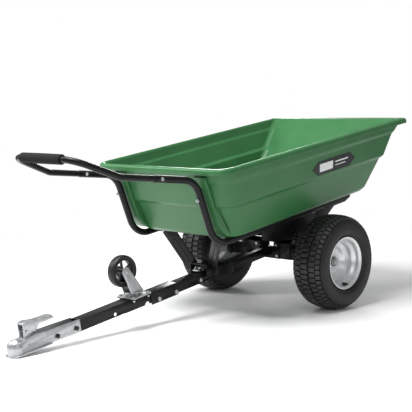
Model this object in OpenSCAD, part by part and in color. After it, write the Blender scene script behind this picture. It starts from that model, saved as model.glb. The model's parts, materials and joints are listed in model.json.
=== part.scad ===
// Garden dump cart: a moulded tub that tips about the axle beam, a channel drawbar
// with a ball coupler and a stowed swivel caster, a push handle and two turf tyres.
// The cart is drawn level, with the axle as its origin, and then stood on the floor:
// the tyres and the coupler's nose touch it. X is across, -Y is the coupler end.

/* [Wheels] */
// Outer radius of the turf tyres
tyre_r = 200; // [195:1:202]
// Width of the turf tyres over the sidewalls
tyre_w = 156; // [140:1:158]
// Distance from the cart's middle to each wheel's middle plane
track_half = 335; // [333:1:345]
// Radius of the round axle
axle_r = 10; // [9:0.5:10]

/* [Tub] */
// Wall thickness of the moulded tub
tub_wall = 5; // [4:0.5:6]
// Underside of the tub's floor above the axle
tub_floor_z = 229; // [229:1:232]
// Top of the tub's rim lip above the axle
rim_z = 528; // [520:1:535]
// Half width over the rim lip
rim_half = 375; // [370:1:380]

/* [Tilt] */
// Distance of the tipping pivot behind the axle
pivot_y = 22; // [20:1:24]
// Height of the tipping pivot above the axle
pivot_z = 82; // [81:1:84]
// Radius of the pivot shaft
pivot_r = 12; // [10:0.5:12]

/* [Drawbar] */
// Outside width of the drawbar's channels
bar_w = 50; // [46:1:50]
// Sheet thickness of the drawbar's channels
bar_t = 3.5; // [3:0.5:3.5]
// Front end of the drawbar, measured from the axle
bar_front_y = -1120; // [-1125:1:-1118]

/* [Coupler] */
// Distance of the ball's centre in front of the axle
ball_y = -1390; // [-1395:1:-1388]
// Height of the ball's centre above the axle
ball_z = 39; // [38:0.5:41]
// Radius of the ball's socket
socket_r = 25.3; // [25.2:0.1:25.5]

/* [Handle] */
// Outside radius of the leg tubes
leg_r = 14; // [13:0.5:14]
// Outside radius of the push handle's tube
bow_r = 12.2; // [12:0.1:12.3]
// Radius of the foam grip
grip_r = 19; // [16:0.5:20]

/* [Caster] */
// Radius of the caster wheel
caster_r = 62.5; // [55:0.5:63]
// Distance of the caster's swivel axis in front of the axle
caster_y = -828; // [-830:1:-826]
// How far the caster wheel's axle trails the swivel axis
caster_trail = 42; // [36:1:46]

/* [Hidden] */
$fn = 64;
BLACK = "#1b1c1e";
ZINC = "#b9bcc0";
GREEN = "#1f7a45";
RUBBER = "#232427";

// Fits: a turning fit, the play beside a turning part and the play round a bolt.
RUN = 0.05;
SIDE = 0.3;
HOLE = 0.4;
CUT = 1;  // how far a cutting shape runs past the surface

// Beam and axle.
BEAM_HALF = 230;
BEAM_Y = 30;
BEAM_LOW = -8;
BEAM_TOP = 45;
BEAM_T = 4;
CAP_T = 6;
HUB_IN = track_half - 72;
HUB_OUT = track_half + 4;
BEARING_LIP = 2;
WASHER_T = 2.5;
COTTER_X = HUB_OUT + BEARING_LIP + SIDE + WASHER_T + 3.5;
COTTER_R = 2;
AXLE_END = COTTER_X + 5;
HUB_R = 17.5;
RIM_R = 101.5;
TUBE_Z = tub_floor_z - leg_r;
TUBE_X = 230;

// Drawbar.
REAR_LOW = 9;
REAR_TOP = 49;
FRONT_LOW = 13;
FRONT_TOP = 56;
JOIN_Y = -768;
BOLT_R = 5;
SMALL = 4;  // radius of the smaller bolts
NOTCH = [-786, FRONT_LOW - 3];
NOTCH_R = 13;
HITCH_HOLE = [-951, 24];
HITCH_HOLE_R = 6.5;
SLEEVE_BOLTS = [[-727, 17], [-633, 17]];
EAR_BOLT = [-488, 24];
FLANGE_T = 4;
FLANGE_HALF = 72;
FLANGE_BOLTS = [[57, 6, BEAM_T], [57, 54, 0]];
BRACKET_X = [41, 130];
BRACKET_T = 4;
BRACKET_TOP = 66;
BOSS_R = 22;

// Struts and latch.
STRUT_TOP = [146, -479.5, 226];
STRUT_FOOT = [54, -445, 60];
STRUT_W = 62;
CROSS_BAR_Y = [-502, -462];
CROSS_BAR_Z = [222, 228.5];
CROSS_Y = 70;
CROSS_R = 9;
YOKE_Y = [-470, -412];
YOKE_IN = 44;
YOKE_T = 4;
YOKE_TOP = 84;
LATCH = [-464, 63];
LATCH_PIN_R = 4;

// Coupler.
DOME_R = 31;
COUPLER_IN = 24;
COUPLER_OUT = 27;
COUPLER_BOLTS = [[-1226, 32], [-1139, 32]];
LEVER = [-1345, 86];
JAW = [-1347, 46];

// Handle: corners of the tube's middle line on the right side.
LEG = [[TUBE_X, 90, TUBE_Z], [TUBE_X, -586, TUBE_Z], [TUBE_X, -648, 487], [216.5, -838, 534]];
function on_leg(y) = LEG[2] + (LEG[3] - LEG[2]) * (y - LEG[2].y) / (LEG[3].y - LEG[2].y);
BOW = [on_leg(-780), on_leg(-987), [178, -1158, 666]];
LEG_BEND = 90;
BOW_BEND = 70;
TUBE_T = 1.5;
HANDLE_BOLT = on_leg(-815);
HANDLE_BOLT_HALF = 15.3;
LEG_BOLT = [TUBE_X, 408];
TUB_BOLTS_Y = [-440, 30];

// Levels of the tub's outside: height, half width, front, rear and the front corners' radius.
TUB = [[tub_floor_z, 262, -518, 350, 66],
       [tub_floor_z + 13, 275, -533, 372, 72],
       [362, 320, -578, 438, 74],
       [373, 335, -592, 450, 76],
       [462, 349, -608, 508, 74],
       [474, 357, -617, 522, 72],
       [503, 362, -624, 548, 68],
       [rim_z - 4.3, 364, -627, 556, 64]];
REAR_R = 32;
// The rear wall is double: its inner face is a dump slope and leaves a hollow below.
SLOPE_FOOT = 203;
SLOPE_RUN = 1.13;
function slope_y(z) = SLOPE_FOOT + SLOPE_RUN * (z - tub_floor_z - tub_wall);
// Levels of the tub's inside: height, half width, front and the front corners' radius.
TUB_IN = [[tub_floor_z + tub_wall, 258, -514, 60],
          [tub_floor_z + 15, 269, -526, 66],
          [352, 311, -570, 68],
          [394, 315, -574, 68],
          [403, 328, -588, 68],
          [476, 345, -606, 63],
          [484, 352, -612, 60],
          [rim_z + 3, 358, -620, 57]];
SLOPE_R = 26;
LIP_LOW = 503;
LIP_REAR = 605;
LIP_DROP = 15;
PAD_X = [196, 266];

// Stance: the cart leans on its nose, which is the front of the coupler's flange.
NOSE_LOW = 14;
NOSE_R = 37;
NOSE_Y = ball_y - NOSE_R;
lean = 180 + asin(tyre_r / norm([NOSE_Y, NOSE_LOW])) - atan2(NOSE_LOW, NOSE_Y);
REAR_TIP = LIP_REAR * cos(lean) - (LIP_LOW - LIP_DROP) * sin(lean);
FRONT_TIP = (ball_y - DOME_R) * cos(lean) - ball_z * sin(lean);
SHIFT = -(REAR_TIP + min(FRONT_TIP, NOSE_Y * cos(lean) - (NOSE_LOW + 4) * sin(lean))) / 2;

module stance() translate([0, SHIFT, tyre_r]) rotate([lean, 0, 0]) children();
module both() for (side = [0, 1]) mirror([side, 0, 0]) children();
module block(x, y, z) translate([x[0], y[0], z[0]]) cube([x[1] - x[0], y[1] - y[0], z[1] - z[0]]);
module rod_x(r, x0, x1, y, z) translate([x0, y, z]) rotate([0, 90, 0]) cylinder(r = r, h = x1 - x0);
module rod_y(r, y0, y1, x, z) translate([x, y0, z]) rotate([-90, 0, 0]) cylinder(r = r, h = y1 - y0);
module rod_z(r, z0, z1, x, y) translate([x, y, z0]) cylinder(r = r, h = z1 - z0);

// A flat outline of [y, z] points made into a plate that starts at x0.
module side_plate(x0, thick) translate([x0, 0, 0]) rotate([90, 0, 90]) linear_extrude(thick) children();

// A ring along X.
module ring_x(outer, inner, x0, x1, y, z) difference() {
    rod_x(outer, x0, x1, y, z);
    rod_x(inner, x0 - CUT, x1 + CUT, y, z);
}

// A channel that opens downwards and runs along Y.
module channel(w, y, low, top, t) difference() {
    block([-w / 2, w / 2], y, [low, top]);
    block([-w / 2 + t, w / 2 - t], [y[0] - CUT, y[1] + CUT], [low - CUT, top - t]);
}

// A hexagon-head bolt along X, with its head beyond x1 and its nut beyond x0.
module bolt_x(r, x0, x1, y, z) {
    rod_x(r, x0 - 9, x1, y, z);
    translate([x1, y, z]) rotate([0, 90, 0]) cylinder(r = 1.85 * r, h = r, $fn = 6);
    translate([x0 - r, y, z]) rotate([0, 90, 0]) cylinder(r = 1.85 * r, h = r, $fn = 6);
}
module bolt_y(r, y0, y1, x, z) translate([x, 0, z]) rotate([0, 0, 90]) bolt_x(r, y0, y1, 0, 0);
module bolt_z(r, z0, z1, x, y) translate([x, y, 0]) rotate([0, -90, 0]) bolt_x(r, z0, z1, 0, 0);

// A round tube along a line of corners, with each inner corner rounded to an arc.
TUBE_SIDES = 20;
BEND_STEPS = 7;
function unit(v) = v / norm(v);
function turn(d1, d2) = acos(d1 * d2);
function arc_points(before, corner, after, bend) =
    let (d1 = unit(corner - before), d2 = unit(after - corner), angle = turn(d1, d2),
         inward = unit(d2 - (d1 * d2) * d1), start = corner - d1 * bend * tan(angle / 2))
    [for (i = [0 : BEND_STEPS]) let (a = angle * i / BEND_STEPS)
        start + bend * (sin(a) * d1 + (1 - cos(a)) * inward)];
function route(p, bend) = concat([p[0]],
    [for (i = [1 : len(p) - 2]) each arc_points(p[i - 1], p[i], p[i + 1], bend)], [p[len(p) - 1]]);
function heading(p, i) = unit(p[min(i + 1, len(p) - 1)] - p[max(i - 1, 0)]);
// One ring of points round the middle line; `flat_side` keeps the rings from twisting.
function tube_ring(p, i, r, flat_side) =
    let (d = heading(p, i), u = unit(cross(d, flat_side)), v = cross(d, u))
    [for (k = [0 : TUBE_SIDES - 1]) let (a = 360 * k / TUBE_SIDES) p[i] + r * (cos(a) * u + sin(a) * v)];
// Rings of the outside run out, rings of the inside run back, and the last joins the first.
module bent_tube(corners, r, wall, bend, flat_side) {
    p = route(corners, bend);
    n = len(p);
    rings = concat([for (i = [0 : n - 1]) tube_ring(p, i, r, flat_side)],
                   [for (i = [n - 1 : -1 : 0]) tube_ring(p, i, r - wall, flat_side)]);
    polyhedron([for (ring = rings) each ring],
               [for (j = [0 : 2 * n - 1], k = [0 : TUBE_SIDES - 1])
                   let (j2 = (j + 1) % (2 * n), k2 = (k + 1) % TUBE_SIDES)
                   [j * TUBE_SIDES + k, j2 * TUBE_SIDES + k, j2 * TUBE_SIDES + k2, j * TUBE_SIDES + k2]]);
}

// ---------------------------------------------------------------- beam and axle
module axle_beam() color(BLACK) stance() difference() {
    block([-BEAM_HALF, BEAM_HALF], [-BEAM_Y, BEAM_Y], [BEAM_LOW, BEAM_TOP]);
    block([-BEAM_HALF - CUT, BEAM_HALF + CUT], [-BEAM_Y + BEAM_T, BEAM_Y - BEAM_T],
          [BEAM_LOW - CUT, BEAM_TOP - BEAM_T]);
    both() rod_y(SMALL + HOLE, -BEAM_Y - CUT, CUT - BEAM_Y + BEAM_T, FLANGE_BOLTS[0][0], FLANGE_BOLTS[0][1]);
}
module beam_end_caps() color(BLACK) stance() both() difference() {
    block([BEAM_HALF, BEAM_HALF + CAP_T], [-BEAM_Y, BEAM_Y], [-16, BEAM_TOP]);
    rod_x(axle_r, BEAM_HALF - CUT, BEAM_HALF + CAP_T + CUT, 0, 0);
}
module axle_shaft() color(ZINC) stance() difference() {
    rod_x(axle_r, -AXLE_END, AXLE_END, 0, 0);
    both() rod_z(COTTER_R, -axle_r - CUT, axle_r + CUT, COTTER_X, 0);
}
module axle_spacers() color(ZINC) stance() both()
    ring_x(axle_r + 4, axle_r, BEAM_HALF + CAP_T, HUB_IN - BEARING_LIP - SIDE, 0, 0);
module axle_washers() color(ZINC) stance() both()
    ring_x(axle_r + 7, axle_r, HUB_OUT + BEARING_LIP + SIDE, HUB_OUT + BEARING_LIP + SIDE + WASHER_T, 0, 0);
module axle_cotters() color(ZINC) stance() both() {
    rod_z(COTTER_R, -axle_r - 6, axle_r + 3, COTTER_X, 0);
    translate([COTTER_X, 0, axle_r + 7]) rotate([0, 90, 0])
        rotate_extrude() translate([4.5, 0]) circle(1.5, $fn = 24);
}

// ---------------------------------------------------------------- tipping hinge
module ear_outline() {
    polygon([[-BEAM_Y, BEAM_TOP], [BEAM_Y, BEAM_TOP], [BEAM_Y, BRACKET_TOP - 10], [pivot_y + BOSS_R - 2, pivot_z],
             [pivot_y - BOSS_R + 4, pivot_z + 10], [-BEAM_Y, BRACKET_TOP]]);
    translate([pivot_y, pivot_z]) circle(BOSS_R);
}
module hinge_brackets() color(BLACK) stance() both() difference() {
    union() {
        for (y = [-BEAM_Y - BRACKET_T, BEAM_Y]) block(BRACKET_X, [y, y + BRACKET_T], [BEAM_LOW, BRACKET_TOP - 2]);
        for (x = [BRACKET_X[0], BRACKET_X[1] - BRACKET_T]) side_plate(x, BRACKET_T) ear_outline();
    }
    rod_x(pivot_r, BRACKET_X[0] - CUT, BRACKET_X[1] + CUT, pivot_y, pivot_z);
    for (b = FLANGE_BOLTS) rod_y(SMALL + HOLE, -BEAM_Y - BRACKET_T - CUT, -BEAM_Y + CUT, b[0], b[1]);
}
SHAFT_END = 221.5;
SADDLE_X = 212;
SADDLE_T = 4;
module pivot_shaft() color(BLACK) stance() rod_x(pivot_r, -SHAFT_END, SHAFT_END, pivot_y, pivot_z);
module pivot_bolts() color(ZINC) stance() both() {
    rod_x(pivot_r + 6, SHAFT_END, SHAFT_END + 3, pivot_y, pivot_z);
    translate([SHAFT_END + 3, pivot_y, pivot_z]) rotate([0, 90, 0]) cylinder(r = 9, h = 6, $fn = 6);
}
module pivot_bushes() color(ZINC) stance() both() {
    ring_x(pivot_r + 6, pivot_r + RUN, SADDLE_X - 8, SADDLE_X, pivot_y, pivot_z);
    ring_x(pivot_r + 6, pivot_r + RUN, SADDLE_X + SADDLE_T, SHAFT_END - SIDE, pivot_y, pivot_z);
}
module saddle_outline() {
    polygon([[-291, 214], [-291, 161], [-225, 133], [-150, 122], [-60, 104], [pivot_y - 22, pivot_z],
             [pivot_y + 22, pivot_z], [96, 120], [151, 164], [196, 189], [276, 189], [318, 203], [318, 214]]);
    translate([pivot_y, pivot_z]) circle(26);
}
module saddle_plate() difference() {
    side_plate(SADDLE_X, SADDLE_T) saddle_outline();
    rod_x(pivot_r + RUN, SADDLE_X - CUT, SADDLE_X + SADDLE_T + CUT, pivot_y, pivot_z);
    rod_x(CROSS_R, SADDLE_X - CUT, SADDLE_X + SADDLE_T + CUT, CROSS_Y, TUBE_Z);
}
module saddle_right() color(BLACK) stance() saddle_plate();
module saddle_left() color(BLACK) stance() mirror([1, 0, 0]) saddle_plate();
module saddle_web() color(BLACK) stance() {
    block([-SADDLE_X, SADDLE_X], [-112, -108], [150, 206]);
    block([-SADDLE_X, SADDLE_X], [-108, -84], [202, 206]);
}

// ---------------------------------------------------------------- drawbar
module drawbar_rear() color(BLACK) stance() difference() {
    channel(bar_w, [-750, -BEAM_Y - BRACKET_T - FLANGE_T], REAR_LOW, REAR_TOP, bar_t);
    for (b = concat(SLEEVE_BOLTS, [EAR_BOLT])) rod_x(BOLT_R + HOLE, -bar_w, bar_w, b[0], b[1]);
}
FLANGE_Y = [-BEAM_Y - BRACKET_T - FLANGE_T, -BEAM_Y - BRACKET_T];
module drawbar_flange() color(BLACK) stance() difference() {
    union() {
        block([-FLANGE_HALF, FLANGE_HALF], FLANGE_Y, [BEAM_LOW, REAR_TOP]);
        both() block([BRACKET_X[0], FLANGE_HALF], FLANGE_Y, [REAR_TOP, BRACKET_TOP - 2]);
    }
    both() for (b = FLANGE_BOLTS) rod_y(SMALL + HOLE, FLANGE_Y[0] - CUT, FLANGE_Y[1] + CUT, b[0], b[1]);
}
module flange_bolts() color(ZINC) stance() both() for (b = FLANGE_BOLTS)
    mirror([0, 1, 0]) bolt_y(SMALL, BEAM_Y - b[2], -FLANGE_Y[0], b[0], b[1]);
module drawbar_sleeve() color(BLACK) stance() difference() {
    channel(bar_w + 2 * bar_t, [JOIN_Y + 1, -622], 4, REAR_TOP + bar_t, bar_t);
    for (b = SLEEVE_BOLTS) rod_x(BOLT_R + HOLE, -bar_w, bar_w, b[0], b[1]);
}
module sleeve_bolts() color(ZINC) stance() {
    for (b = SLEEVE_BOLTS) bolt_x(BOLT_R, -bar_w / 2 - bar_t, bar_w / 2 + bar_t, b[0], b[1]);
    bolt_x(BOLT_R, -bar_w / 2, bar_w / 2, EAR_BOLT[0], EAR_BOLT[1]);
}
module drawbar_tongue() color(BLACK) stance() difference() {
    channel(bar_w - 2 * bar_t, [-900, -600], 10, REAR_TOP - bar_t, bar_t);
    rod_x(NOTCH_R, -bar_w, bar_w, NOTCH[0], NOTCH[1]);
    for (b = SLEEVE_BOLTS) rod_x(BOLT_R + HOLE, -bar_w, bar_w, b[0], b[1]);
}
module drawbar_front() color(BLACK) stance() difference() {
    channel(bar_w, [bar_front_y, JOIN_Y], FRONT_LOW, FRONT_TOP, bar_t);
    rod_x(NOTCH_R, -bar_w, bar_w, NOTCH[0], NOTCH[1]);
    rod_x(HITCH_HOLE_R, -bar_w, bar_w, HITCH_HOLE[0], HITCH_HOLE[1]);
}
module latch_saddle() color(BLACK) stance()
    channel(bar_w + 2 * bar_t, [-400, -290], 3, REAR_TOP + bar_t, bar_t);

// ---------------------------------------------------------------- dump latch
module latch_ears() color(BLACK) stance() both() difference() {
    side_plate(17, 3) union() {
        polygon([[-480, REAR_TOP], [-448, REAR_TOP], [LATCH[0] + 9, LATCH[1]], [LATCH[0] - 9, LATCH[1]]]);
        translate(LATCH) circle(9);
    }
    rod_x(LATCH_PIN_R, 16, 21, LATCH[0], LATCH[1]);
}
module latch_pin() color(ZINC) stance() {
    rod_x(LATCH_PIN_R, -22, 20, LATCH[0], LATCH[1]);
    rod_x(LATCH_PIN_R + 2.5, 20, 22, LATCH[0], LATCH[1]);
}
module latch_spring() color(ZINC) stance() for (x = [-8 : 2.2 : 8])
    translate([x, LATCH[0], LATCH[1]]) rotate([0, 90, 0])
        rotate_extrude() translate([LATCH_PIN_R + 1.6, 0]) circle(0.8, $fn = 16);
module latch_lever() color(ZINC) stance() difference() {
    union() {
        both() side_plate(12, 3) union() {
            polygon([[-486, 57], [-472, 54], [-426, 55], [-424, 63], [-458, 71], [-472, 72]]);
            translate(LATCH) circle(8);
        }
        rod_x(4, -15, 15, -485, 60);
        block([-15, 15], [-432, -424], [56, 62]);
    }
    rod_x(LATCH_PIN_R + RUN, -20, 20, LATCH[0], LATCH[1]);
}
module strut_yoke() color(BLACK) stance() {
    both() block([YOKE_IN, YOKE_IN + YOKE_T], YOKE_Y, [26, YOKE_TOP]);
    block([-YOKE_IN, YOKE_IN], YOKE_Y, [YOKE_TOP - YOKE_T, YOKE_TOP]);
    block([-8, 8], [-420, -416], [68, YOKE_TOP - YOKE_T]);
}
// A flat bar from a to b, turned so that its broad face looks along `face`.
module flat_bar(a, b, w, t, face) {
    d = unit(b - a);
    across = unit(cross(d, face));
    n = cross(d, across);
    multmatrix([[across.x, n.x, d.x, a.x], [across.y, n.y, d.y, a.y], [across.z, n.z, d.z, a.z]])
        translate([-w / 2, -t / 2, 0]) cube([w, t, norm(b - a)]);
}
module strut_pair() color(BLACK) stance() both() difference() {
    flat_bar(STRUT_FOOT, STRUT_TOP, STRUT_W, 4, [-sin(15), -cos(15), 0]);
    block([-10, YOKE_IN + YOKE_T], [-520, -360], [0, YOKE_TOP]);
    block([-10, BEAM_HALF], [-560, -400], [CROSS_BAR_Z[0], rim_z]);
}

// ---------------------------------------------------------------- caster
CASTER_HALF = [50, 46];
CASTER_BOLT = [40, 37];
MOUNT_TOP = FRONT_TOP + 4;
PLATE_TOP = MOUNT_TOP + 4;
RACE_TOP = PLATE_TOP + 9;
FORK_T = 5;
CASTER_AXLE = [caster_y - caster_trail, 169];
module caster_pad(z) difference() {
    block([-CASTER_HALF[0], CASTER_HALF[0]], [caster_y - CASTER_HALF[1], caster_y + CASTER_HALF[1]], [z, z + 4]);
    both() for (s = [-1, 1])
        rod_z(SMALL + HOLE, z - CUT, z + 4 + CUT, CASTER_BOLT[0], caster_y + s * CASTER_BOLT[1]);
}
module caster_mount() color(BLACK) stance() caster_pad(FRONT_TOP);
module caster_plate() color(ZINC) stance() difference() {
    caster_pad(MOUNT_TOP);
    rod_z(6, MOUNT_TOP - CUT, PLATE_TOP + CUT, 0, caster_y);
}
module caster_bolts() color(ZINC) stance() both() for (s = [-1, 1])
    bolt_z(SMALL, FRONT_TOP, PLATE_TOP, CASTER_BOLT[0], caster_y + s * CASTER_BOLT[1]);
module caster_race() color(ZINC) stance() {
    difference() {
        union() {
            rod_z(29, PLATE_TOP, PLATE_TOP + 4, 0, caster_y);
            translate([0, caster_y, PLATE_TOP + 4]) cylinder(r1 = 27, r2 = 20, h = 5);
        }
        rod_z(6, PLATE_TOP - CUT, RACE_TOP + CUT, 0, caster_y);
    }
    rod_z(6, MOUNT_TOP, RACE_TOP + SIDE + FORK_T + SIDE, 0, caster_y);
    rod_z(11, RACE_TOP + FORK_T + 2 * SIDE, RACE_TOP + FORK_T + 5, 0, caster_y);
}
module caster_fork() color(ZINC) stance() difference() {
    union() {
        rod_z(34, RACE_TOP + SIDE, RACE_TOP + SIDE + FORK_T, 0, caster_y);
        both() side_plate(20, 4) hull() {
            translate([caster_y - 30, RACE_TOP + SIDE]) square([60, FORK_T]);
            translate(CASTER_AXLE) circle(18, $fn = 48);
        }
        both() block([20, 34], [caster_y - 20, caster_y + 20], [RACE_TOP + SIDE, RACE_TOP + SIDE + FORK_T]);
    }
    rod_z(6 + RUN, RACE_TOP, RACE_TOP + FORK_T + 2 * SIDE, 0, caster_y);
    rod_x(BOLT_R, -30, 30, CASTER_AXLE[0], CASTER_AXLE[1]);
}
module caster_axle() color(ZINC) stance() bolt_x(BOLT_R, -24, 24, CASTER_AXLE[0], CASTER_AXLE[1]);
module caster_core() color("#3a3c40") stance() {
    ring_x(14, BOLT_R + RUN, -19.6, 19.6, CASTER_AXLE[0], CASTER_AXLE[1]);
    ring_x(49, 42, -14, 14, CASTER_AXLE[0], CASTER_AXLE[1]);
    for (a = [0 : 72 : 288]) translate([0, CASTER_AXLE[0], CASTER_AXLE[1]]) rotate([a, 0, 0])
        block([-5, 5], [-4, 4], [13, 43]);
}
module caster_tyre() color(RUBBER) stance() translate([0, CASTER_AXLE[0], CASTER_AXLE[1]]) rotate([0, 90, 0])
    rotate_extrude($fn = 96) polygon(concat([[49, 14], [49, -14]],
        [for (a = [-80 : 20 : 80]) [caster_r - 10 + 10 * cos(a), 18 * sin(a)]]));

// ---------------------------------------------------------------- coupler
module coupler_adapter() color(ZINC) stance() difference() {
    block([-bar_w / 2 + bar_t, bar_w / 2 - bar_t], [-1250, -1060], [18, 46]);
    block([-bar_w / 2 + bar_t + 3, bar_w / 2 - bar_t - 3], [-1252, -1058], [21, 60]);
    for (b = COUPLER_BOLTS) rod_x(BOLT_R + HOLE, -bar_w, bar_w, b[0], b[1]);
}
module coupler_side() polygon([[ball_y, 18], [-1120, 13], [-1120, 60], [-1209, 64], [-1258, 65], [-1314, 69],
                               [-1340, 66], [-1362, 61], [ball_y, 58]]);
module coupler_housing() color(ZINC) stance() difference() {
    union() {
        side_plate(-COUPLER_OUT, 2 * COUPLER_OUT) coupler_side();
        translate([0, ball_y, ball_z]) sphere(DOME_R);
        rod_z(DOME_R, 18, ball_z, 0, ball_y);
        rod_z(NOSE_R, NOSE_LOW, 18, 0, ball_y);
        block([-NOSE_R, NOSE_R], [ball_y, -1256], [NOSE_LOW, 18]);
        both() side_plate(11, 3.6) union() {
            polygon([[-1362, 58], [-1320, 58], [-1320, 66], [LEVER[0] + 10, LEVER[1]], [LEVER[0] - 10, LEVER[1]]]);
            translate(LEVER) circle(10);
        }
    }
    translate([0, ball_y, ball_z]) sphere(socket_r);
    rod_z(socket_r, ball_z - DOME_R - CUT, ball_z, 0, ball_y);
    side_plate(-COUPLER_IN, 2 * COUPLER_IN) polygon([[-1338, 18], [-1119, 17], [-1119, 90], [-1300, 90],
                                                     [-1312, 63], [-1338, 60]]);
    block([-9, 9], [ball_y, -1330], [NOSE_LOW - CUT, JAW[1] + 8]);
    for (b = COUPLER_BOLTS) rod_x(BOLT_R + HOLE, -bar_w, bar_w, b[0], b[1]);
    rod_x(4, -15, 15, LEVER[0], LEVER[1]);
    rod_x(3, -30, 30, JAW[0], JAW[1]);
    rod_z(SMALL + HOLE, NOSE_LOW - CUT, 30, 0, -1270);
    rod_z(SMALL + HOLE, 50, 70, 0, -1331);
}
module coupler_bolts() color(BLACK) stance() for (b = COUPLER_BOLTS)
    bolt_x(BOLT_R, -COUPLER_OUT, COUPLER_OUT, b[0], b[1]);
module coupler_adjuster() color(ZINC) stance() {
    bolt_z(SMALL, NOSE_LOW, 18, 0, -1270);
}
module coupler_pins() color(ZINC) stance() {
    rod_x(4, -21, 21, LEVER[0], LEVER[1]);
    both() rod_x(6, 19, 21, LEVER[0], LEVER[1]);
    rod_x(3, -28, 28, JAW[0], JAW[1]);
}
module coupler_lever() color(ZINC) stance() difference() {
    union() {
        both() side_plate(15, 3) polygon([[-1357, 76], [-1357, 118], [-1340, 122], [-1300, 115], [-1236, 112],
                                         [-1226, 107], [-1226, 99], [-1290, 98], [-1304, 78]]);
        side_plate(-16, 32) polygon([[-1357, 114], [-1340, 119], [-1300, 112], [-1228, 109], [-1228, 112],
                                     [-1300, 115], [-1340, 122], [-1357, 118]]);
    }
    rod_x(4 + RUN, -20, 20, LEVER[0], LEVER[1]);
}
module coupler_jaw() color(ZINC) stance() difference() {
    side_plate(-8, 16) union() {
        polygon([[-1363.5, 20], [-1351, 20], [JAW[0] + 5, JAW[1]], [JAW[0] - 5, JAW[1]], [-1361, 36]]);
        translate(JAW) circle(6);
    }
    rod_x(3 + RUN, -10, 10, JAW[0], JAW[1]);
}

// ---------------------------------------------------------------- wheels
TYRE_MID = (tyre_r + RIM_R) / 2;
TYRE_HALF = (tyre_r - RIM_R) / 2;
function swell(a, n) = sign(a) * pow(abs(a), 2 / n);
// The tyre's section is a rounded box, open towards the rim.
function tyre_arc(wall) = [for (a = [-42 : 6 : 222])
    [TYRE_MID + (TYRE_HALF - wall) * swell(sin(a), 2.9), (tyre_w / 2 - wall) * swell(cos(a), 2.9)]];
module tyre_section() polygon(concat(tyre_arc(0), [for (i = [44 : -1 : 0]) tyre_arc(9)[i]]));
module tyre() rotate([0, 90, 0]) rotate_extrude($fn = 128) tyre_section();
// Half of the barrel's section, from its middle to the flange's lip and back inside.
BARREL = [[87, 0], [87, 32], [101, 45], [101, 60], [111, 65], [111, 68], [108, 68], [98, 62], [98, 46], [84, 33],
          [84, 0]];
VALVE_AT = -92.5;
VALVE_R = 4.5;
module rim() difference() {
    rotate([0, 90, 0]) rotate_extrude($fn = 128) union() {
        polygon(concat(BARREL, [for (i = [9 : -1 : 1]) [BARREL[i][0], -BARREL[i][1]]]));
        polygon([[86, 8], [86, 11], [66, 11], [54, -5], [34, -5], [26, 2], [HUB_R + 2, 2], [HUB_R + 2, -1],
                 [25, -1], [33, -8], [55, -8], [67, 8]]);
    }
    translate([0, 0, VALVE_AT]) rod_x(VALVE_R, 30, 60, 0, 0);
}
module hub() ring_x(HUB_R + 4, HUB_R, HUB_IN - track_half, HUB_OUT - track_half, 0, 0);
module at_wheel(side) stance() translate([side * track_half, 0, 0]) mirror([side < 0 ? 1 : 0, 0, 0]) children();
module bearings() {
    w = [HUB_IN - track_half, HUB_OUT - track_half];
    ring_x(HUB_R, axle_r + RUN, w[0], w[0] + 14, 0, 0);
    ring_x(HUB_R + 4, axle_r + RUN, w[0] - BEARING_LIP, w[0], 0, 0);
    ring_x(HUB_R, axle_r + RUN, w[1] - 14, w[1], 0, 0);
    ring_x(HUB_R + 4, axle_r + RUN, w[1], w[1] + BEARING_LIP, 0, 0);
}
module valve() translate([0, 0, VALVE_AT]) {
    rod_x(VALVE_R, 32, 60, 0, 0);
    rod_x(3.5, 60, 66, 0, 0);
}
module tyre_left() color(RUBBER) at_wheel(-1) tyre();
module tyre_right() color(RUBBER) at_wheel(1) tyre();
module rim_left() color(ZINC) at_wheel(-1) { rim(); hub(); }
module rim_right() color(ZINC) at_wheel(1) { rim(); hub(); }
module bearings_left() color(BLACK) at_wheel(-1) bearings();
module bearings_right() color(BLACK) at_wheel(1) bearings();
module valve_left() color(RUBBER) at_wheel(-1) valve();
module valve_right() color(RUBBER) at_wheel(1) valve();

// ---------------------------------------------------------------- tub
module rounded(half, front, rear, r)
    translate([-half + r, front + r]) offset(r = r, $fn = 32) square([2 * (half - r), rear - front - 2 * r]);
// One level's outline at height z, with round corners that may differ between front and rear.
CORNER_STEPS = 8;
function level(z, half, front, rear, front_r, rear_r) = [for (q = [0 : 3], k = [0 : CORNER_STEPS])
    let (a = 90 * q + 90 * k / CORNER_STEPS, r = q < 2 ? rear_r : front_r)
    [(q == 0 || q == 3 ? 1 : -1) * (half - r) + r * cos(a), (q < 2 ? rear - r : front + r) + r * sin(a), z]];
// The solid through a stack of levels.
module loft(levels) {
    n = len(levels[0]);
    m = len(levels);
    polyhedron([for (l = levels) each l],
               concat([[for (k = [0 : n - 1]) k]], [[for (k = [n - 1 : -1 : 0]) (m - 1) * n + k]],
                      [for (i = [0 : m - 2], k = [0 : n - 1]) [i * n + k, (i + 1) * n + k, (i + 1) * n + (k + 1) % n]],
                      [for (i = [0 : m - 2], k = [0 : n - 1]) [i * n + k, (i + 1) * n + (k + 1) % n, i * n + (k + 1) % n]]));
}
module tub_outside(inset, drop) loft([for (row = TUB)
    level(row[0] - drop, row[1] - inset, row[2] + inset, row[3] - inset, row[4] - inset, REAR_R - inset)]);
module tub_inside(grow, drop) loft([for (row = TUB_IN)
    level(row[0] - drop, row[1] + grow, row[2] - grow, slope_y(row[0]) + grow, row[3] + grow, SLOPE_R + grow)]);
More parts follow.
